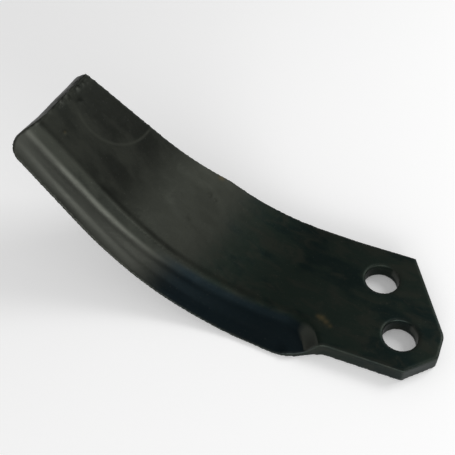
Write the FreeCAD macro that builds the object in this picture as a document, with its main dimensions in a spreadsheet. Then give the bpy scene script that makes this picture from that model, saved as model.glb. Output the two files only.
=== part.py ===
import FreeCAD, Part
import math
import os
import re
import Sketcher
from FreeCAD import Vector

# Rotary tiller blade, forged in one piece from flat spring-steel bar.
#
# Frame: the origin lies midway between the two bolt holes on the mounting face (the underside),
# +Z points out of the opposite face, and +Y runs through both holes. The bar leads away from the
# bolts towards -X and +Y, and its far end is bent up towards +Z.
#
# Two sets of axes describe the flat blank. "Reach" and "side" run along and across the bar, with
# side positive towards the back edge. "Length" and "width" are the same plane turned by the skew
# of the bend, so that the bend lines lie along the width. Lengths are measured on the underside
# and follow it round the bend. Sizes are in millimetres and degrees.

NODE = "tiller_blade"

SIZES = (
    # Bar and bolt holes
    ("bar_width", 60.0, "width of the flat bar"),
    ("bar_thickness", 8.0, "thickness of the flat bar"),
    ("bar_turn", 30.0, "lean of the bar from square to the bolt row"),
    ("hole_diameter", 15.0, "bolt hole, clearance for M14"),
    ("hole_spacing", 30.0, "bolt hole centre to centre"),
    ("hole_chamfer", 0.6, "chamfer on the rims of the bolt holes"),
    # Mounting end
    ("row_margin", 18.3, "bolt row to the end edge that is parallel to it"),
    ("end_reach", 25.0, "origin to the square end"),
    ("end_chamfer", 12.0, "chamfered corner of the mounting end"),
    ("end_corner_radius", 5.0, "rounding of the blunt corner at the end"),
    # Outline of the blade
    ("heel_reach", 21.5, "origin to the heel, where the forged edge starts to swell out"),
    ("swell", 7.3, "how far the forged edge swells out past the bar"),
    ("swell_ramp", 14.5, "reach over which it swells out"),
    ("swell_run", 5.5, "reach from there to the pivot of the bevel's run-out"),
    ("heel_hollow_radius", 12.0, "hollow at the start of the swell"),
    ("heel_round_radius", 18.0, "rounding at the end of the swell"),
    ("cutting_angle", 4.2, "lean of the cutting edge towards the middle of the bar"),
    ("cutting_taper_angle", 5.6, "lean of the cutting edge past the break"),
    ("flare_reach", 24.0, "origin to where the back edge starts to flare"),
    ("flare_angle", 3.0, "lean of the flared back edge, away from the middle"),
    ("taper_angle", 6.6, "lean of the back edge past the break"),
    ("break_length", 99.0, "length of the break, at which both edges turn in"),
    ("blade_length", 184.2, "length to the back corner of the tip"),
    ("tip_lean", 3.4, "lean of the tip's edge from the bend line"),
    ("tip_lean_width", 28.0, "width of the leaning part of the tip's edge"),
    ("tip_corner_radius", 7.5, "rounded cutting corner of the tip"),
    # Bend
    ("bend_skew", 10.0, "lean of the bend line from square to the bar"),
    ("bend_start", 44.0, "length at which the bend starts"),
    ("bend_radius", 100.0, "inner radius of the bend"),
    ("bend_angle", 50.0, "angle of the bend"),
    # Hollow bevel along the cutting edge
    ("bevel_width", 21.0, "bevel at the heel, and radius of its run-out"),
    ("tip_bevel_width", 17.0, "bevel at the tip"),
    ("shoulder_radius", 5.0, "rounding where the flat drops into the bevel"),
    ("wall_slope", 43.0, "slope of the shoulder's wall"),
    ("hollow_radius", 5.0, "hollow at the foot of the wall"),
    ("floor_slope", 2.0, "slope of the bevel's floor"),
    ("crest_width", 5.8, "cutting edge to the crest, where the floor steps down"),
    ("crest_thickness", 2.7, "thickness at the crest"),
    ("crest_radius", 3.0, "rounding of the crest"),
    ("land_width", 2.8, "width of the thin land along the cutting edge"),
    ("land_thickness", 1.6, "thickness where the land starts"),
    ("land_radius", 5.0, "hollow between the step and the land"),
    ("edge_thickness", 1.3, "thickness left at the cutting edge"),
)
ALIASES = {alias for alias, number, note in SIZES}

# How far the tip's trim stays outside the cutting edge, so that its rounding runs out on it.
TRIM_CLEARANCE = "0.05"

# Headings in the XY plane, from +X: across the bend, and across the blade at its heel.
BEND_HEADING = "(90 - bar_turn - bend_skew)"
HEEL_HEADING = "(90 - bar_turn - cutting_angle)"

doc = FreeCAD.newDocument("TillerBlade")
sheet = doc.addObject("Spreadsheet::Sheet", "Sizes")
for row, (alias, number, note) in enumerate(SIZES, start=1):
    sheet.set(f"A{row}", alias)
    sheet.set(f"B{row}", str(number))
    sheet.set(f"C{row}", note)
    sheet.setAlias(f"B{row}", alias)
doc.recompute()

body = doc.addObject("PartDesign::Body", "Blade")
body.Label = NODE


# ---- Expressions and sketches ----


def bind(text):
    """Put the sheet's name before every size in an expression."""
    return re.sub(r"[a-z_]+", lambda word: f"Sizes.{word[0]}" if word[0] in ALIASES else word[0], text)


def value(text):
    """Work out an expression of sizes as a plain number."""
    return float(sheet.evalExpression(bind(text)))


def new_sketch(name, place):
    """Start a sketch on the body's XY plane, moved and turned by a placement expression."""
    ground = next(item for item in body.Origin.OriginFeatures if item.Role == "XY_Plane")
    sketch = body.newObject("Sketcher::SketchObject", name)
    sketch.AttachmentSupport = [(ground, "")]
    sketch.MapMode = "FlatFace"
    sketch.setExpression("AttachmentOffset", bind(place))
    return sketch


def dimension(sketch, kind, places, size):
    """Add a dimension to a sketch, bound to an expression of sizes."""
    index = sketch.addConstraint(Sketcher.Constraint(kind, *places, value(size)))
    sketch.setExpression(f"Constraints[{index}]", bind(size))


def pin(sketch, point, corner):
    """Fix a point of a sketch at a corner's two coordinates."""
    dimension(sketch, "DistanceX", (-1, 1, *point), corner[0])
    dimension(sketch, "DistanceY", (-1, 1, *point), corner[1])


def add_line(sketch, start, finish):
    """Add a line, and give its start and its end."""
    line = sketch.addGeometry(Part.LineSegment(start, finish))
    return (line, 1), (line, 2)


def add_arc(sketch, centre, start, finish):
    """Add the shorter arc between two points, and give its start and its end."""
    first = start - centre
    last = finish - centre
    angle = math.atan2(first.y, first.x)
    turn = math.atan2(first.x * last.y - first.y * last.x, first.dot(last))
    circle = Part.Circle(centre, Vector(0, 0, 1), first.Length)
    arc = sketch.addGeometry(Part.ArcOfCircle(circle, min(angle, angle + turn), max(angle, angle + turn)))
    return ((arc, 1), (arc, 2)) if turn > 0 else ((arc, 2), (arc, 1))


def round_corner(sketch, line_in, line_out, corner, towards):
    """Join two lines by a tangent arc, and keep the corner that it rounds as a point.

    Args:
        sketch: The sketch.
        line_in: End of the line that comes in, as (geometry, point).
        line_out: Start of the line that goes out.
        corner: The corner as (x, y, radius) expressions.
        towards: Unit vectors from the corner along the two lines.
    """
    point = Vector(value(corner[0]), value(corner[1]), 0)
    radius = value(corner[2])
    half = towards[0].getAngle(towards[1]) / 2
    centre = point + (towards[0] + towards[1]).normalize() * (radius / math.sin(half))
    ends = [point + direction * (radius / math.tan(half)) for direction in towards]
    start, finish = add_arc(sketch, centre, *ends)
    sketch.addConstraint(Sketcher.Constraint("Tangent", *line_in, *start))
    sketch.addConstraint(Sketcher.Constraint("Tangent", *finish, *line_out))
    dimension(sketch, "Radius", (start[0],), corner[2])
    mark = sketch.addGeometry(Part.Point(point), True)
    sketch.addConstraint(Sketcher.Constraint("PointOnObject", mark, 1, line_in[0]))
    sketch.addConstraint(Sketcher.Constraint("PointOnObject", mark, 1, line_out[0]))
    pin(sketch, (mark, 1), corner)


def draw_outline(sketch, corners):
    """Draw a closed outline of straight edges whose corners are bound to the sizes.

    Args:
        sketch: The sketch to draw in.
        corners: Corners in order, each (x, y), or (x, y, radius) if rounded, as expressions.
    """
    points = [Vector(value(corner[0]), value(corner[1]), 0) for corner in corners]

    def towards(index, step):
        """Give the unit vector from a corner to the one before (-1) or after it (1)."""
        return (points[(index + step) % len(points)] - points[index]).normalize()

    def edge_end(index, step):
        """Give where the edge before or after a corner ends, short of the corner's rounding."""
        if len(corners[index]) == 2:
            return points[index]
        half = towards(index, -1).getAngle(towards(index, 1)) / 2
        return points[index] + towards(index, step) * (value(corners[index][2]) / math.tan(half))

    edges = []
    for index in range(len(corners)):
        finish = edge_end((index + 1) % len(corners), -1)
        edges.append(add_line(sketch, edge_end(index, 1), finish))

    for index, corner in enumerate(corners):
        line_in = edges[index - 1][1]
        line_out = edges[index][0]
        if len(corner) == 3:
            round_corner(sketch, line_in, line_out, corner, (towards(index, -1), towards(index, 1)))
        else:
            sketch.addConstraint(Sketcher.Constraint("Coincident", *line_in, *line_out))
            pin(sketch, line_out, corner)


def checked(feature):
    """Recompute the document, and stop if the feature failed or left no single solid."""
    doc.recompute()
    failed = {"Invalid", "Error", "Touched"} & set(feature.State)
    if failed or feature.Shape.isNull() or not feature.Shape.isValid():
        raise RuntimeError(f"{feature.Label} failed: {feature.State}")
    if len(feature.Shape.Solids) != 1:
        raise RuntimeError(f"{feature.Label} left {len(feature.Shape.Solids)} solids")
    return feature


def checked_cut(feature, before):
    """Check a feature that has to take material away."""
    checked(feature)
    if feature.Shape.Volume >= before.Shape.Volume:
        raise RuntimeError(f"{feature.Label} cut nothing")
    return feature


# ---- Shape of the flat blank ----


def length_at(reach, side):
    """Give the length of a point of the blank from its reach and side."""
    return f"(({reach}) * cos(bend_skew) + ({side}) * sin(bend_skew))"


def width_at(reach, side):
    """Give the width coordinate of a point of the blank from its reach and side."""
    return f"(({side}) * cos(bend_skew) - ({reach}) * sin(bend_skew))"


def width_on_edge(start_length, start_width, lean, length):
    """Give the width coordinate at a length of a straight edge.

    Args:
        start_length: Length of a known point of the edge.
        start_width: Width coordinate of that point.
        lean: Lean of the edge from square to the bend line, towards the cutting side.
        length: Length to work out.
    """
    return f"({start_width} - (({length}) - {start_length}) * tan({lean}))"


HALF_WIDTH = "(bar_width / 2)"

# The bevel runs out round the pivot, a point of the cutting edge at its full swell.
PIVOT_REACH = "(heel_reach + swell_ramp + swell_run)"
PIVOT_SIDE = f"(-({HALF_WIDTH} + swell))"
PIVOT_LENGTH = length_at(PIVOT_REACH, PIVOT_SIDE)
PIVOT_WIDTH = width_at(PIVOT_REACH, PIVOT_SIDE)

# The back edge flares from the side of the bar up to the break, and then tapers to the tip.
FLARE_LENGTH = length_at("flare_reach", HALF_WIDTH)
FLARE_WIDTH = width_at("flare_reach", HALF_WIDTH)

BREAK_CUT = width_on_edge(PIVOT_LENGTH, PIVOT_WIDTH, "bend_skew - cutting_angle", "break_length")
BREAK_BACK = width_on_edge(FLARE_LENGTH, FLARE_WIDTH, "bend_skew - flare_angle", "break_length")


def cutting_edge(length):
    """Give the width coordinate of the cutting edge at a length past the break."""
    return width_on_edge("break_length", BREAK_CUT, "(bend_skew - cutting_taper_angle)", length)


def back_edge(length):
    """Give the width coordinate of the back edge at a length past the break."""
    return width_on_edge("break_length", BREAK_BACK, "(bend_skew + taper_angle)", length)


# Distance from the pivot to the flared back edge, square to the cutting edge.
PIVOT_TO_SIDE = f"(({HALF_WIDTH} - {PIVOT_SIDE}) * cos(flare_angle))"
PIVOT_TO_FLARE = f"(({PIVOT_REACH} - flare_reach) * sin(flare_angle))"
HEEL_DEPTH = f"(({PIVOT_TO_SIDE} + {PIVOT_TO_FLARE}) / cos(cutting_angle - flare_angle))"


# ---- Shank: the flat bar from the mounting end up to the heel line ----

# The heel line crosses the blade at the pivot, square to the cutting edge. The sketch's x axis
# runs against the reach, and its y axis with the side.
ROW_EDGE_AT_BACK = f"((row_margin - {HALF_WIDTH} * sin(bar_turn)) / cos(bar_turn))"
ROW_EDGE_AT_END = "((row_margin - end_reach * cos(bar_turn)) / sin(bar_turn))"
HEEL_LINE_REACH = f"({HEEL_DEPTH} * sin(cutting_angle) - {PIVOT_REACH})"
HEEL_LINE_SIDE = f"({PIVOT_SIDE} + {HEEL_DEPTH} * cos(cutting_angle))"

shank_outline = new_sketch("ShankOutline", "placement(vector(0; 0; 0); rotation(-bar_turn; 0; 0))")
draw_outline(
    shank_outline,
    (
        (ROW_EDGE_AT_BACK, HALF_WIDTH),
        ("end_reach", ROW_EDGE_AT_END, "end_corner_radius"),
        ("end_reach", f"(end_chamfer - {HALF_WIDTH})"),
        ("(end_reach - end_chamfer)", f"(-{HALF_WIDTH})"),
        ("(-heel_reach)", f"(-{HALF_WIDTH})", "heel_hollow_radius"),
        ("(-(heel_reach + swell_ramp))", PIVOT_SIDE, "heel_round_radius"),
        (f"(-{PIVOT_REACH})", PIVOT_SIDE),
        (HEEL_LINE_REACH, HEEL_LINE_SIDE),
        ("(-flare_reach)", HALF_WIDTH),
    ),
)

shank = body.newObject("PartDesign::Pad", "Shank")
shank.Profile = shank_outline
shank.setExpression("Length", bind("bar_thickness"))
checked(shank)


# ---- Hollow bevel ----

# A section of the blade stands on the underside with its origin at the cutting edge, its x axis
# towards the back edge and its y axis out of the upper face.


def bevel_corners(bevel):
    """Give the corners of the bevel's line, from the upper face down to the cutting edge."""
    top = f"({bevel} - shoulder_radius * tan(wall_slope / 2))"
    drop = "(bar_thickness - crest_thickness)"
    rise = f"({top} * tan(wall_slope) - crest_width * tan(floor_slope) - {drop})"
    foot = f"({rise} / (tan(wall_slope) - tan(floor_slope)))"
    foot_height = f"(crest_thickness + ({foot} - crest_width) * tan(floor_slope))"
    return (
        (top, "bar_thickness", "shoulder_radius"),
        (foot, foot_height, "hollow_radius"),
        ("crest_width", "crest_thickness", "crest_radius"),
        ("land_width", "land_thickness", "land_radius"),
        ("0", "edge_thickness"),
    )


def bevel_width_at(length):
    """Give the width of the bevel at a length."""
    share = f"((({length}) - {PIVOT_LENGTH}) / (blade_length - {PIVOT_LENGTH}))"
    return f"(bevel_width + (tip_bevel_width - bevel_width) * {share})"


def place_at(along, height, width, heading, roll):
    """Give the placement of a sketch at the cutting edge.

    Args:
        along: Distance from the origin, level and square to the bend line.
        height: Height of the underside there.
        width: Width coordinate of the cutting edge.
        heading: Heading of the sketch's x axis.
        roll: Turn of the sketch about its x axis, from lying flat.
    """
    x = f"({width} * cos({BEND_HEADING}) - {along} * sin({BEND_HEADING}))"
    y = f"({width} * sin({BEND_HEADING}) + {along} * cos({BEND_HEADING}))"
    return f"placement(vector({x}; {y}; {height}); rotation({heading}; 0; {roll}))"


heel_place = place_at(PIVOT_LENGTH, "0", PIVOT_WIDTH, HEEL_HEADING, "90")

# At the heel the bevel runs out round the pivot: its line is turned about the upright there.
runout_outline = new_sketch("RunOutOutline", heel_place)
above = "(2 * bar_thickness)"
draw_outline(
    runout_outline,
    (("0", above), ("(bevel_width + bar_thickness)", above), ("(bevel_width + bar_thickness)", "bar_thickness"))
    + bevel_corners("bevel_width"),
)
runout = body.newObject("PartDesign::Groove", "BevelRunOut")
runout.Profile = runout_outline
runout.ReferenceAxis = (runout_outline, ["V_Axis"])
runout.Angle = 360
checked_cut(runout, shank)


# ---- Blade: four stretches between five sections ----

OUTER_RADIUS = "(bend_radius + bar_thickness)"
BEND_END = f"(bend_start + {OUTER_RADIUS} * bend_angle * pi / 180)"
BREAK_SLOPE = f"((break_length - bend_start) / {OUTER_RADIUS} * 180 / pi)"
TIP_RUN = f"(blade_length - {BEND_END})"


def bend_along(slope):
    """Give the level distance from the origin to the place in the bend that has a slope."""
    return f"(bend_start + {OUTER_RADIUS} * sin({slope}))"


def bend_height(slope):
    """Give the height of the underside at the place in the bend that has a slope."""
    return f"({OUTER_RADIUS} * (1 - cos({slope})))"


TIP_ALONG = f"({bend_along('bend_angle')} + {TIP_RUN} * cos(bend_angle))"
TIP_HEIGHT = f"({bend_height('bend_angle')} + {TIP_RUN} * sin(bend_angle))"


def new_section(name, place, depth, bevel):
    """Draw a cross-section of the blade.

    Args:
        name: The sketch's name.
        place: Its placement.
        depth: Distance from the cutting edge to the back edge.
        bevel: Width of the bevel.
    """
    sketch = new_sketch(name, place)
    draw_outline(sketch, (("0", "0"), (depth, "0"), (depth, "bar_thickness")) + bevel_corners(bevel))
    return sketch


def new_bend_section(name, slope, length, cut, back):
    """Draw a cross-section in the bend, from its slope, its length and its two edges."""
    place = place_at(bend_along(slope), bend_height(slope), cut, BEND_HEADING, f"90 + {slope}")
    return new_section(name, place, f"({back} - {cut})", bevel_width_at(length))


start_cut = width_on_edge(PIVOT_LENGTH, PIVOT_WIDTH, "bend_skew - cutting_angle", "bend_start")
start_back = width_on_edge(FLARE_LENGTH, FLARE_WIDTH, "bend_skew - flare_angle", "bend_start")
tip_cut = cutting_edge("blade_length")
tip_depth = f"({back_edge('blade_length')} - {tip_cut})"
tip_place = place_at(TIP_ALONG, TIP_HEIGHT, tip_cut, BEND_HEADING, "90 + bend_angle")

heel_section = new_section("HeelSection", heel_place, HEEL_DEPTH, "bevel_width")
start_section = new_bend_section("BendStartSection", "0", "bend_start", start_cut, start_back)
break_section = new_bend_section("BreakSection", BREAK_SLOPE, "break_length", BREAK_CUT, BREAK_BACK)
bend_end_section = new_bend_section(
    "BendEndSection", "bend_angle", BEND_END, cutting_edge(BEND_END), back_edge(BEND_END)
)
tip_section = new_section("TipSection", tip_place, tip_depth, "tip_bevel_width")

# The bend's path lies on the underside, in the upright plane square to the bend line.
bend_path = new_sketch("BendPath", f"placement(vector(0; 0; 0); rotation(90 + {BEND_HEADING}; 0; 90))")
bend_centre = Vector(value("bend_start"), value(OUTER_RADIUS), 0)
for slopes in (("0", BREAK_SLOPE), (BREAK_SLOPE, "bend_angle")):
    places = [(bend_along(slope), bend_height(slope)) for slope in slopes]
    ends = add_arc(bend_path, bend_centre, *(Vector(value(x), value(y), 0) for x, y in places))
    for end, place in zip(ends, places):
        pin(bend_path, end, place)
    dimension(bend_path, "DistanceX", (-1, 1, ends[0][0], 3), "bend_start")


def new_loft(name, first, last):
    """Join two sections by straight lines."""
    loft = body.newObject("PartDesign::AdditiveLoft", name)
    loft.Profile = first
    loft.Sections = [(last, [""])]
    loft.Ruled = True
    return checked(loft)


def new_sweep(name, path_edge, first, last):
    """Sweep from one section to another round the bend's path."""
    sweep = body.newObject("PartDesign::AdditivePipe", name)
    sweep.Profile = first
    sweep.Spine = (bend_path, [path_edge])
    sweep.Sections = [(last, [""])]
    sweep.Transformation = "Multisection"
    return checked(sweep)


doc.recompute()
new_loft("Heel", heel_section, start_section)
new_sweep("LowerBend", "Edge1", start_section, break_section)
new_sweep("UpperBend", "Edge2", break_section, bend_end_section)
tip = new_loft("Tip", bend_end_section, tip_section)


# ---- Tip: its edge leans, then runs square into the rounded cutting corner ----

LEAN_DROP = "(tip_lean_width * tan(tip_lean))"


def outside_edge(drop):
    """Give a point just outside the cutting edge, at a distance below the tip."""
    return f"({drop} * tan(bend_skew - cutting_taper_angle) - {TRIM_CLEARANCE})", f"(-{drop})"


tip_trim_place = place_at(TIP_ALONG, TIP_HEIGHT, tip_cut, BEND_HEADING, "bend_angle")
tip_trim = new_sketch("TipTrim", tip_trim_place)
past_back = f"({tip_depth} + bar_thickness)"
draw_outline(
    tip_trim,
    (
        (past_back, "(bar_thickness * tan(tip_lean))"),
        (f"({tip_depth} - tip_lean_width)", f"(-{LEAN_DROP})"),
        outside_edge(LEAN_DROP) + ("tip_corner_radius",),
        outside_edge(f"({LEAN_DROP} + 2 * tip_corner_radius)"),
        ("(-bar_thickness)", f"(-({LEAN_DROP} + 2 * tip_corner_radius))"),
        ("(-bar_thickness)", "bar_thickness"),
        (past_back, "bar_thickness"),
    ),
)
tip_cut_off = body.newObject("PartDesign::Pocket", "TipTrimmed")
tip_cut_off.Profile = tip_trim
tip_cut_off.Type = "Length"
tip_cut_off.SideType = "Symmetric"
tip_cut_off.setExpression("Length", bind("4 * bar_thickness"))
checked_cut(tip_cut_off, tip)


# ---- Bolt holes ----

holes_outline = new_sketch("BoltHoles", "placement(vector(0; 0; 0); rotation(0; 0; 0))")
for side in ("(hole_spacing / 2)", "(-hole_spacing / 2)"):
    centre = Vector(0, value(side), 0)
    circle = holes_outline.addGeometry(Part.Circle(centre, Vector(0, 0, 1), value("hole_diameter") / 2))
    dimension(holes_outline, "Diameter", (circle,), "hole_diameter")
    pin(holes_outline, (circle, 3), ("0", side))
holes = body.newObject("PartDesign::Pocket", "Holes")
holes.Profile = holes_outline
holes.Type = "Length"
holes.Reversed = True
holes.setExpression("Length", bind("bar_thickness"))
checked_cut(holes, tip_cut_off)


def is_rim(edge):
    """Tell whether an edge is the rim of a bolt hole."""
    return isinstance(edge.Curve, Part.Circle) and math.isclose(edge.Curve.Radius, value("hole_diameter / 2"))


rims = [f"Edge{number}" for number, edge in enumerate(holes.Shape.Edges, start=1) if is_rim(edge)]
rim_chamfer = body.newObject("PartDesign::Chamfer", "HoleRims")
rim_chamfer.Base = (holes, rims)
rim_chamfer.setExpression("Size", bind("hole_chamfer"))
checked_cut(rim_chamfer, holes)


# ---- Check and write ----

for item in doc.Objects:
    if {"Invalid", "Error"} & set(item.State):
        raise RuntimeError(f"{item.Label} failed: {item.State}")
checked(body)

os.makedirs("parts", exist_ok=True)
body.Shape.exportStep(f"parts/{NODE}.step")
print(f"{NODE}: volume {body.Shape.Volume / 1000:.1f} cm3, {len(body.Shape.Faces)} faces")
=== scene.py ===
"""Looks of a rotary tiller blade: a forged, heat-treated steel blade under dark forge scale."""

import logging
import math
from dataclasses import dataclass, field
from enum import Enum

import bpy
import numpy as np
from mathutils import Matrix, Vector, noise


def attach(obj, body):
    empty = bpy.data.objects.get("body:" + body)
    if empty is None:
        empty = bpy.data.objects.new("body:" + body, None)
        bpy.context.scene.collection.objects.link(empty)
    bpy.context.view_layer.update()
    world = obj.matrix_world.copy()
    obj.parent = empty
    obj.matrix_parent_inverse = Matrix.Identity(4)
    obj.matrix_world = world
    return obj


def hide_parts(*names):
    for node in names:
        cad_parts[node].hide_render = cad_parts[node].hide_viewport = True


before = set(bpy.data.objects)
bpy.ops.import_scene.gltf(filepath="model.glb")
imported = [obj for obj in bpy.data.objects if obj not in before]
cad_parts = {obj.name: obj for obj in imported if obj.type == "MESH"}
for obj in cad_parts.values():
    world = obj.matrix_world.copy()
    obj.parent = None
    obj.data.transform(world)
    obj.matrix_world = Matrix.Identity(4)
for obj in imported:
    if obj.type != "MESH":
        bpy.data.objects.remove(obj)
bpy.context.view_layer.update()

logging.basicConfig(level=logging.INFO, format="%(message)s")
log = logging.getLogger("tiller_blade")

Colour = tuple[float, float, float]
Point = tuple[float, float, float]
Span = tuple[float, float]

NODE = "tiller_blade"
MM = 0.001


class Mask(Enum):
    """Weights stored on the vertices for the finish to read."""

    BURNISH = "bevel_sheen"
    POLISH = "sheen_and_scar"
    QUENCH = "quench"
    RUST = "rust"
    WEAR = "wear_and_sheen"


# ---- Shader graph ----


class Graph:
    """A material's node tree, with short calls for the nodes that this scene uses."""

    def __init__(self, name: str) -> None:
        """Start an empty material.

        Args:
            name: The material's name.
        """
        self.material = bpy.data.materials.new(name)
        self.material.use_nodes = True
        self.tree = self.material.node_tree
        self.tree.nodes.clear()

    def node(self, kind: str, inputs: dict | None = None, **settings) -> bpy.types.Node:
        """Add a node.

        Args:
            kind: The node's type name.
            inputs: Socket names, each with a value or the socket that feeds it.
            **settings: Attributes of the node.

        Returns:
            The new node.
        """
        new = self.tree.nodes.new(kind)
        for name, setting in settings.items():
            setattr(new, name, setting)
        for name, source in (inputs or {}).items():
            self.feed(new.inputs[name], source)
        return new

    def feed(self, socket: bpy.types.NodeSocket, source) -> None:
        """Link a socket to another one, or set its value.

        Args:
            socket: The input to feed.
            source: An output socket or a plain value.
        """
        if isinstance(source, bpy.types.NodeSocket):
            self.tree.links.new(source, socket)
        else:
            socket.default_value = source

    def math(self, operation: str, *values) -> bpy.types.NodeSocket:
        """Add a Math node and give its result.

        Args:
            operation: The node's operation.
            *values: Its inputs in order.

        Returns:
            The output socket.
        """
        new = self.tree.nodes.new("ShaderNodeMath")
        new.operation = operation
        for socket, value in zip(new.inputs, values):
            self.feed(socket, value)
        return new.outputs[0]

    def ramp(self, value, low: float, high: float) -> bpy.types.NodeSocket:
        """Turn a value into a smooth weight that rises from 0 at low to 1 at high.

        Args:
            value: The socket to read.
            low: Where the weight leaves 0.
            high: Where it reaches 1.

        Returns:
            The weight's socket.
        """
        new = self.node(
            "ShaderNodeMapRange",
            {"Value": value, "From Min": low, "From Max": high},
            interpolation_type="SMOOTHSTEP",
        )
        return new.outputs["Result"]

    def mask(self, mask: Mask) -> bpy.types.NodeSocket:
        """Read a weight stored on the piece's vertices."""
        return self.node("ShaderNodeAttribute", attribute_name=mask.value).outputs["Fac"]

    def weight(self, value, share: float) -> bpy.types.NodeSocket:
        """Take a share of a weight."""
        return self.math("MULTIPLY", value, share)

    def spread(self, value, old: tuple[float, float], new: tuple[float, float]) -> bpy.types.NodeSocket:
        """Map a value from one range to another.

        Args:
            value: The socket to read.
            old: The range that it is read over.
            new: The range that it is mapped to.

        Returns:
            The mapped value's socket.
        """
        inputs = {"Value": value, "From Min": old[0], "From Max": old[1], "To Min": new[0], "To Max": new[1]}
        return self.node("ShaderNodeMapRange", inputs).outputs["Result"]

    def noise(
        self, vector, scale: float, detail: float = 4.0, rough: float = 0.55, distortion: float = 0.0
    ) -> bpy.types.NodeSocket:
        """Add a noise pattern.

        Args:
            vector: The coordinates it is read at, in metres.
            scale: Patches per metre.
            detail: How many finer layers it has.
            rough: How strong the finer layers are.
            distortion: How much it is stirred.

        Returns:
            The pattern's value socket.
        """
        inputs = {
            "Vector": vector,
            "Scale": scale,
            "Detail": detail,
            "Roughness": rough,
            "Distortion": distortion,
        }
        return self.node("ShaderNodeTexNoise", inputs).outputs["Fac"]

    def mix(self, weight, first, second) -> bpy.types.NodeSocket:
        """Mix two colours.

        Args:
            weight: How much of the second colour shows.
            first: Colour or socket.
            second: Colour or socket.

        Returns:
            The colour socket.
        """
        new = self.node("ShaderNodeMix", data_type="RGBA")
        self.feed(new.inputs[0], weight)
        for socket, colour in ((new.inputs[6], first), (new.inputs[7], second)):
            self.feed(socket, colour if isinstance(colour, bpy.types.NodeSocket) else (*colour, 1.0))
        return new.outputs[2]


@dataclass(frozen=True)
class ForgeScale:
    """Thin dark oxide on hardened steel, mottled on the shank and smoother along the blade."""

    grey: Colour = (0.0135, 0.0148, 0.0125)
    shank: Colour = (0.0150, 0.0225, 0.0180)
    shank_dark: Colour = (0.0095, 0.0165, 0.0150)
    warm: Colour = (0.0240, 0.0270, 0.0215)
    # Colour of the painted highlight on the lower bevel.
    bevel_sheen_colour: Colour = (0.0520, 0.0545, 0.0470)
    # Pale oxide mottling, and also the colour of the painted highlight on the bend.
    pale_scale_and_sheen: Colour = (0.0370, 0.0395, 0.0325)
    quench_blue: Colour = (0.0090, 0.0150, 0.0190)
    # Bare rubbed metal for edge wear and speckle, and also the colour of painted highlights: the crest band,
    # the heel's crescent and the tip's corner glint.
    worn_and_sheen: Colour = (0.1100, 0.1150, 0.1000)
    rust: Colour = (0.0750, 0.0620, 0.0330)
    roughness: Span = (0.42, 0.58)
    streak_scale: Point = (0.45, 1.0, 1.0)
    clouds_per_metre: float = 70.0
    drifts_per_metre: float = 160.0
    grains_per_metre: float = 1100.0
    shank_fade: Span = (0.098, 0.066)
    bump_height: float = 0.00015

    def material(self) -> bpy.types.Material:
        """Build the material.

        Returns:
            The finished material.
        """
        graph = Graph("forge_scale")
        blank = graph.node("ShaderNodeAttribute", attribute_name="blank").outputs["Vector"]
        length = graph.node("ShaderNodeSeparateXYZ", {"Vector": blank}).outputs["X"]
        streaks = graph.node("ShaderNodeMapping", {"Vector": blank, "Scale": self.streak_scale})
        streaked = streaks.outputs["Vector"]

        clouds = graph.noise(streaked, self.clouds_per_metre, 5.0, 0.58)
        drifts = graph.noise(streaked, self.drifts_per_metre, 4.0, 0.62, distortion=0.6)
        grain = graph.noise(blank, self.grains_per_metre, 3.0, 0.7)
        on_shank = graph.ramp(length, *self.shank_fade)

        tone = graph.mix(graph.weight(graph.ramp(clouds, 0.42, 0.62), 0.55), self.grey, self.pale_scale_and_sheen)
        scale = graph.mix(graph.ramp(clouds, 0.56, 0.44), self.shank, self.shank_dark)
        scale = graph.mix(graph.weight(graph.ramp(drifts, 0.44, 0.66), 0.70), scale, self.warm)
        tone = graph.mix(on_shank, tone, scale)
        # Painted highlight on the lower bevel, floor and edge, from the bend to the tip.
        tone = graph.mix(graph.mask(Mask.BURNISH), tone, self.bevel_sheen_colour)
        # Painted highlight on the bend, where the bend lamp reflects, and the real bright scratch arc near
        # the tip.
        tone = graph.mix(graph.mask(Mask.POLISH), tone, self.pale_scale_and_sheen)
        tone = graph.mix(graph.weight(graph.mask(Mask.QUENCH), 0.85), tone, self.quench_blue)
        tone = graph.mix(graph.weight(graph.ramp(grain, 0.62, 0.80), 0.35), tone, self.worn_and_sheen)
        # The wear mask holds real edge wear and chips, and painted highlights on the crest, the heel's
        # crescent and the tip's corner.
        tone = graph.mix(graph.weight(graph.mask(Mask.WEAR), 0.65), tone, self.worn_and_sheen)
        tone = graph.mix(graph.mask(Mask.RUST), tone, self.rust)

        roughness = graph.spread(clouds, (0.38, 0.64), self.roughness)
        height = graph.math("ADD", graph.weight(grain, 0.35), drifts)
        relief = {"Height": height, "Strength": 0.35, "Distance": self.bump_height}
        bump = graph.node("ShaderNodeBump", relief)
        shader = graph.node(
            "ShaderNodeBsdfPrincipled",
            {"Base Color": tone, "Metallic": 1.0, "Roughness": roughness, "Normal": bump.outputs["Normal"]},
        )
        graph.node("ShaderNodeOutputMaterial", {"Surface": shader.outputs["BSDF"]})
        return graph.material


# ---- The blade ----


@dataclass(frozen=True)
class Mark:
    """A small mark on the upper face, by its place on the flat blank in millimetres."""

    length: float
    width: float
    radius: float
    strength: float


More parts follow.
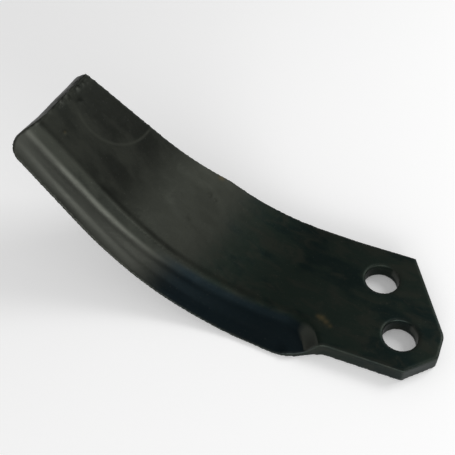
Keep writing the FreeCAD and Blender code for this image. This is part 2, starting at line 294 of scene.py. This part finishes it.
@dataclass
class Blade:
    """The forged blade, rebuilt as a fine mesh over its CAD solid.

    Lengths along the flat blank are measured on the underside, square to the bend line, and
    widths along the bend line, positive towards the back edge. Sizes are in millimetres.
    """

    bend_heading: float = math.radians(50.0)
    bend_start: float = 44.0
    bend_outer_radius: float = 108.0
    bend_angle: float = math.radians(50.0)
    thickness: float = 8.0
    cell: float = 0.63
    undulation: float = 0.14
    waves_per_mm: float = 0.075
    pitting: float = 0.035
    pits_per_mm: float = 0.75
    chips_per_mm: float = 0.40
    upper_skin: float = 7.0
    wall_heights: Span = (3.2, 7.6)
    run_out_fade: Span = (38.0, 33.0)
    quench_fade: Span = (108.0, 84.0)
    # Where the painted highlight on the lower bevel fades in, along the blank.
    bevel_sheen_fade: Span = (88.0, 112.0)
    crest_lengths: Span = (130.0, 160.0)
    crest_widths: Span = (-48.0, -51.0)
    crest_spread: float = 1.7
    scar_spread: float = 0.6
    end_lengths: Span = (179.5, 183.0)
    end_heights: Span = (4.6, 7.0)
    dents: tuple[Mark, ...] = (
        Mark(102.4, 2.4, 1.1, 0.30),
        Mark(98.8, 2.3, 0.9, 0.25),
        Mark(103.3, -15.7, 1.0, 0.20),
        Mark(180.8, -24.1, 1.2, 0.30),
        Mark(176.8, -19.9, 1.0, 0.25),
        Mark(171.5, -35.0, 0.9, 0.20),
    )
    rust_spots: tuple[Mark, ...] = (
        Mark(103.7, 14.6, 1.5, 0.8),
        Mark(22.9, -21.5, 1.4, 0.9),
        Mark(20.4, -22.4, 1.2, 0.8),
        Mark(18.0, -23.3, 1.0, 0.6),
        Mark(24.8, -21.5, 1.0, 0.6),
        Mark(171.5, -35.0, 0.6, 0.4),
    )
    # Painted highlight: the bright patch where the bend catches the lamp.
    painted_bend_highlight: Mark = Mark(108.0, 9.0, 17.0, 0.9)
    # Painted glint at the tip's corner on the cutting edge.
    corner_gleam: Mark = Mark(180.5, -50.0, 4.5, 0.9)
    tip_scar: Mark = Mark(168.0, -3.0, 21.75, 0.7)
    finish: ForgeScale = field(default_factory=ForgeScale)

    def build(self, node: bpy.types.Object) -> bpy.types.Object:
        """Make the blade's mesh and dress it.

        Args:
            node: The CAD node that it stands for.

        Returns:
            The finished object.
        """
        blade = self.copy_of(node)
        self.refine(blade)
        places, normals = read_vertices(blade)
        blank = self.blank_coordinates(places)
        self.store_masks(blade, places, normals, blank)
        self.add_relief(blade, places, normals, blank)
        blade.data.materials.clear()
        blade.data.materials.append(self.finish.material())
        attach(blade, "root")
        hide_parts(NODE)
        return blade

    def copy_of(self, node: bpy.types.Object) -> bpy.types.Object:
        """Copy the CAD node's mesh into a new object, and merge its loose triangles.

        Args:
            node: The CAD node.

        Returns:
            The new object.
        """
        blade = bpy.data.objects.new("forged_blade", node.data.copy())
        bpy.context.scene.collection.objects.link(blade)
        select_only(blade)
        bpy.ops.object.mode_set(mode="EDIT")
        bpy.ops.mesh.select_all(action="SELECT")
        bpy.ops.mesh.remove_doubles(threshold=0.000001)
        bpy.ops.object.mode_set(mode="OBJECT")
        return blade

    def refine(self, blade: bpy.types.Object) -> None:
        """Remesh the blade into fine even faces, and soften its edges.

        Args:
            blade: The merged copy.
        """
        select_only(blade)
        remesh = blade.modifiers.new("EvenFaces", "REMESH")
        remesh.mode = "VOXEL"
        remesh.voxel_size = self.cell * MM
        remesh.use_smooth_shade = True
        bpy.ops.object.modifier_apply(modifier=remesh.name)
        soften = blade.modifiers.new("SoftEdges", "SMOOTH")
        soften.factor = 0.5
        soften.iterations = 3
        bpy.ops.object.modifier_apply(modifier=soften.name)

    def blank_coordinates(self, places: np.ndarray) -> np.ndarray:
        """Unroll points of the bent blade onto its flat blank.

        Args:
            places: Points in millimetres, one a row.

        Returns:
            Length, width and height over the underside, one row for each point.
        """
        cosine, sine = math.cos(self.bend_heading), math.sin(self.bend_heading)
        across = places[:, 0] * cosine + places[:, 1] * sine
        along = places[:, 1] * cosine - places[:, 0] * sine
        radius = self.bend_outer_radius
        over = along - self.bend_start
        below = radius - places[:, 2]
        slope = np.arctan2(over, below)
        cosine, sine = math.cos(self.bend_angle), math.sin(self.bend_angle)
        tip_run = over * cosine - below * sine
        tip_height = radius - (over * sine + below * cosine)
        flat, tip = over <= 0.0, slope > self.bend_angle
        bend_end = self.bend_start + radius * self.bend_angle
        length = np.select([flat, tip], [along, bend_end + tip_run], self.bend_start + radius * slope)
        height = np.select([flat, tip], [places[:, 2], tip_height], radius - np.hypot(over, below))
        return np.column_stack((length, across, height))

    def spot(self, blank: np.ndarray, mark: Mark) -> np.ndarray:
        """Weigh points by how near they are to a mark on the upper face.

        Args:
            blank: The points' places on the flat blank.
            mark: The mark.

        Returns:
            A weight for each point, from 0 to 1.
        """
        away = np.hypot(blank[:, 0] - mark.length, blank[:, 1] - mark.width) / mark.radius
        return np.exp(-away * away) * (blank[:, 2] > 0.2 * self.thickness)

    def store_masks(
        self, blade: bpy.types.Object, places: np.ndarray, normals: np.ndarray, blank: np.ndarray
    ) -> None:
        """Store where the finish is rubbed at the edges, chipped, scratched, quenched blue or rusty, and
        where highlights are painted on: a patch and band on the bend, the lower bevel, the crest, the heel's
        crescent and the tip's corner.

        Args:
            blade: The refined object.
            places: Its vertices, in millimetres.
            normals: Their normals.
            blank: Their places on the flat blank.
        """
        mesh = blade.data
        length, width, height = blank.T
        attribute = mesh.attributes.new("blank", "FLOAT_VECTOR", "POINT")
        attribute.data.foreach_set("vector", (blank * MM).astype(np.float32).ravel())

        in_bevel = smooth_step(height, 7.0, 5.0) * smooth_step(height, 1.0, 1.3)
        facing_up = smooth_step(normals[:, 2], 0.3, 0.6)
        heading = math.sin(self.bend_heading), math.cos(self.bend_heading)
        towards_tip = normals[:, 1] * heading[1] - normals[:, 0] * heading[0]
        # The bevel's run-out wall at the heel, facing the tip: it gets a painted highlight, the bright
        # crescent, and no blue quench tint.
        run_out = smooth_step(towards_tip, 0.15, 0.35) * smooth_step(length, *self.run_out_fade)
        run_out *= (height > self.wall_heights[0]) & (height < self.wall_heights[1])
        quench = in_bevel * facing_up * smooth_step(length, *self.quench_fade)
        quench *= smooth_step(width, -12.0, -20.0)
        store_mask(mesh, Mask.QUENCH, quench * (1.0 - run_out))
        # Painted highlight on the floor and edge of the bevel, fading in from the bend towards the tip.
        on_floor = smooth_step(height, 5.0, 3.6) * smooth_step(height, 1.2, 1.6)
        store_mask(mesh, Mask.BURNISH, on_floor * smooth_step(length, *self.bevel_sheen_fade))

        bulge = edge_bulge(mesh, places, normals)
        # Along the crest of the edge bevel: real wear, and a painted highlight band where the crest catches
        # the light.
        crest = np.interp(length, self.crest_lengths, self.crest_widths)
        crest_wear_and_sheen = np.exp(-(((width - crest) / self.crest_spread) ** 2)) * smooth_step(length, 96.0, 114.0)
        crest_wear_and_sheen *= height < 5.0
        end_chips = smooth_step(length, *self.end_lengths) * smooth_step(height, *self.end_heights)
        end_chips *= smooth_step(noise_at(places, self.chips_per_mm), 0.45, 0.75)
        worn_and_sheen = (
            0.22 * smooth_step(bulge, 0.012, 0.06),
            # Crest: wear and painted highlight.
            0.55 * crest_wear_and_sheen * (height > 0.8),
            # Painted highlight: the bright crescent at the heel.
            0.80 * run_out,
            0.50 * end_chips,
            # Painted glint at the tip's corner.
            0.45 * self.spot(blank, self.corner_gleam),
        )
        store_mask(mesh, Mask.WEAR, np.max(worn_and_sheen, axis=0))
        # Painted highlight on the bend: a bright patch, then a fainter band over the bend's upper face. The
        # scratch arc near the tip is a real mark kept in the same mask.
        sheen_and_scar = self.spot(blank, self.painted_bend_highlight) * self.painted_bend_highlight.strength
        bend_sheen = smooth_step(length, 78.0, 96.0) * smooth_step(length, 150.0, 118.0)
        bend_sheen *= height > self.upper_skin
        sheen_and_scar = np.maximum(sheen_and_scar, 0.45 * bend_sheen)
        scar = self.tip_scar
        ring = np.hypot(length - scar.length, width - scar.width) - scar.radius
        on_arc = smooth_step(width, 3.0, 0.0) * smooth_step(length, 176.0, 172.0) * (width < scar.width + 5.0)
        on_arc *= (width < scar.width) | (length < scar.length)
        line = np.exp(-((ring / self.scar_spread) ** 2))
        sheen_and_scar = np.maximum(sheen_and_scar, line * on_arc * scar.strength * (height > self.upper_skin))
        store_mask(mesh, Mask.POLISH, sheen_and_scar)
        rust = sum(self.spot(blank, mark) * mark.strength for mark in self.rust_spots)
        store_mask(mesh, Mask.RUST, np.clip(rust, 0.0, 1.0))

    def add_relief(
        self, blade: bpy.types.Object, places: np.ndarray, normals: np.ndarray, blank: np.ndarray
    ) -> None:
        """Press forging waves, fine pits, dents and the broken top edge of the tip into the blade.

        Every change goes inwards, so the blade stays inside its solid.

        Args:
            blade: The refined object.
            places: Its vertices, in millimetres.
            normals: Their normals.
            blank: Their places on the flat blank.
        """
        length, width, height = blank.T
        waves = noise_at(places, self.waves_per_mm)
        pits = noise_at(places, self.pits_per_mm)
        on_blade = smooth_step(length, 25.0, 70.0)
        depth = self.undulation * (0.35 + 0.65 * on_blade) * waves + self.pitting * pits
        for mark in self.dents:
            depth += mark.strength * self.spot(blank, mark)
        chips = noise_at(places, self.chips_per_mm)
        near_end = smooth_step(length, *self.end_lengths) * smooth_step(height, *self.end_heights)
        depth += near_end * smooth_step(width, -40.0, -30.0) * (0.10 + 0.45 * smooth_step(chips, 0.4, 0.8))
        places = places - normals * depth[:, None]
        blade.data.vertices.foreach_set("co", (places * MM).astype(np.float32).ravel())
        blade.data.update()


def read_vertices(blade: bpy.types.Object) -> tuple[np.ndarray, np.ndarray]:
    """Read a mesh's vertices.

    Args:
        blade: The object.

    Returns:
        Their places in millimetres and their normals, one row for each vertex.
    """
    mesh = blade.data
    places = np.empty(len(mesh.vertices) * 3)
    mesh.vertices.foreach_get("co", places)
    normals = np.empty(len(mesh.vertices) * 3)
    mesh.vertices.foreach_get("normal", normals)
    return places.reshape(-1, 3) / MM, normals.reshape(-1, 3)


def smooth_step(values: np.ndarray, low: float, high: float) -> np.ndarray:
    """Turn values into a weight that goes smoothly from 0 at low to 1 at high.

    Args:
        values: The values.
        low: Where the weight is 0. It may be the larger of the two.
        high: Where it is 1.

    Returns:
        The weights.
    """
    share = np.clip((values - low) / (high - low), 0.0, 1.0)
    return share * share * (3.0 - 2.0 * share)


def noise_at(places: np.ndarray, scale: float) -> np.ndarray:
    """Read a fixed noise at some points.

    Args:
        places: The points, in millimetres.
        scale: Waves per millimetre.

    Returns:
        A value from 0 to 1 for each point.
    """
    values = np.array([noise.fractal(Vector(place) * scale, 0.9, 2.1, 3) for place in places])
    return np.clip(0.5 + 0.5 * values, 0.0, 1.0)


def edge_bulge(mesh: bpy.types.Mesh, places: np.ndarray, normals: np.ndarray) -> np.ndarray:
    """Measure how far each vertex stands out from its neighbours, evened out along the surface.

    Args:
        mesh: The mesh.
        places: Its vertices, in millimetres.
        normals: Their normals.

    Returns:
        The height of each vertex over its neighbours, in millimetres: positive on an outer edge.
    """
    ends = np.empty(len(mesh.edges) * 2, dtype=np.int64)
    mesh.edges.foreach_get("vertices", ends)
    first, last = ends.reshape(-1, 2).T
    count = np.bincount(ends, minlength=len(places)).astype(float)

    def mean_of_neighbours(values: np.ndarray) -> np.ndarray:
        """Average a value over each vertex's neighbours."""
        total = np.bincount(first, values[last], len(values)) + np.bincount(last, values[first], len(values))
        return total / count

    centre = np.column_stack([mean_of_neighbours(places[:, axis]) for axis in range(3)])
    bulge = ((places - centre) * normals).sum(axis=1)
    for _ in range(2):
        bulge = 0.5 * (bulge + mean_of_neighbours(bulge))
    return bulge


def store_mask(mesh: bpy.types.Mesh, mask: Mask, weights: np.ndarray) -> None:
    """Store a weight on each vertex for the finish to read.

    Args:
        mesh: The mesh.
        mask: Which weight it is.
        weights: The weights.
    """
    attribute = mesh.attributes.new(mask.value, "FLOAT", "POINT")
    attribute.data.foreach_set("value", weights.astype(np.float32))


def select_only(piece: bpy.types.Object) -> None:
    """Deselect everything, then select one object and make it active.

    Args:
        piece: The object.
    """
    if bpy.context.object and bpy.context.object.mode != "OBJECT":
        bpy.ops.object.mode_set(mode="OBJECT")
    bpy.ops.object.select_all(action="DESELECT")
    piece.select_set(True)
    bpy.context.view_layer.objects.active = piece


# ---- Studio ----


@dataclass(frozen=True)
class Softbox:
    """A rectangular lamp that faces the blade."""

    name: str
    place: Point
    size: tuple[float, float]
    power: float

    def build(self, target: Vector) -> None:
        """Add the lamp.

        Args:
            target: The point that it faces.
        """
        lamp = bpy.data.lights.new(self.name, "AREA")
        lamp.shape = "RECTANGLE"
        lamp.size, lamp.size_y = self.size
        lamp.energy = self.power
        lamp_object = bpy.data.objects.new(self.name, lamp)
        bpy.context.scene.collection.objects.link(lamp_object)
        lamp_object.location = self.place
        lamp_object.rotation_euler = (target - Vector(self.place)).to_track_quat("-Z", "Y").to_euler()


@dataclass
class Studio:
    """Pale floor, soft lamps, plain world and the camera."""

    camera_place: Point = (-0.09986, -0.1929, 0.30762)
    camera_view: Point = (0.0904, 0.6339, -0.7681)
    field_of_view: float = math.radians(30.77)
    floor_colour: Colour = (0.93, 0.93, 0.93)
    floor_size: float = 8.0
    floor_gap: float = 0.0005
    floor_glow: float = 0.20
    lamp_target: Point = (-0.06, 0.04, 0.03)
    world_level: float = 0.38
    softboxes: tuple[Softbox, ...] = (
        Softbox("bend_light", (0.46, 0.15, 0.48), (0.30, 0.30), 1.6),
        Softbox("front_light", (-0.05, -1.00, 0.30), (1.30, 0.45), 10.0),
    )

    def build(self) -> None:
        """Build the whole studio."""
        self.add_floor()
        self.add_world()
        for softbox in self.softboxes:
            softbox.build(Vector(self.lamp_target))
        self.add_camera()

    def add_floor(self) -> None:
        """Lay the pale floor just under the blade."""
        bpy.ops.mesh.primitive_plane_add(size=self.floor_size, location=(0.0, 0.0, -self.floor_gap))
        floor = bpy.context.object
        floor.name = "studio_floor"
        graph = Graph("pale_floor")
        rays = graph.node("ShaderNodeLightPath").outputs
        seen = graph.math("MAXIMUM", rays["Is Glossy Ray"], rays["Is Transmission Ray"])
        seen = graph.math("MAXIMUM", seen, rays["Is Camera Ray"])
        shader = graph.node(
            "ShaderNodeBsdfPrincipled",
            {
                "Base Color": (*self.floor_colour, 1.0),
                "Roughness": 0.9,
                "Specular IOR Level": 0.0,
                "Emission Color": (1.0, 1.0, 1.0, 1.0),
                "Emission Strength": graph.weight(seen, self.floor_glow),
            },
        )
        graph.node("ShaderNodeOutputMaterial", {"Surface": shader.outputs["BSDF"]})
        floor.data.materials.append(graph.material)

    def add_world(self) -> None:
        """Light everything with a plain world."""
        world = bpy.data.worlds.new("studio_world")
        bpy.context.scene.world = world
        world.use_nodes = True
        background = world.node_tree.nodes["Background"]
        background.inputs["Color"].default_value = (1.0, 1.0, 1.0, 1.0)
        background.inputs["Strength"].default_value = self.world_level

    def add_camera(self) -> None:
        """Add the camera."""
        camera = bpy.data.cameras.new("camera")
        camera.sensor_fit = "HORIZONTAL"
        camera.angle = self.field_of_view
        camera.clip_start = 0.01
        camera_object = bpy.data.objects.new("camera", camera)
        bpy.context.scene.collection.objects.link(camera_object)
        camera_object.location = self.camera_place
        camera_object.rotation_euler = Vector(self.camera_view).to_track_quat("-Z", "Y").to_euler()
        bpy.context.scene.camera = camera_object


def main() -> None:
    """Build the blade and the studio."""
    bpy.context.scene.view_settings.view_transform = "Standard"
    blade = Blade().build(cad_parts[NODE])
    log.info("forged_blade: %d vertices, %d faces", len(blade.data.vertices), len(blade.data.polygons))
    Studio().build()


if __name__ == "__main__":
    main()
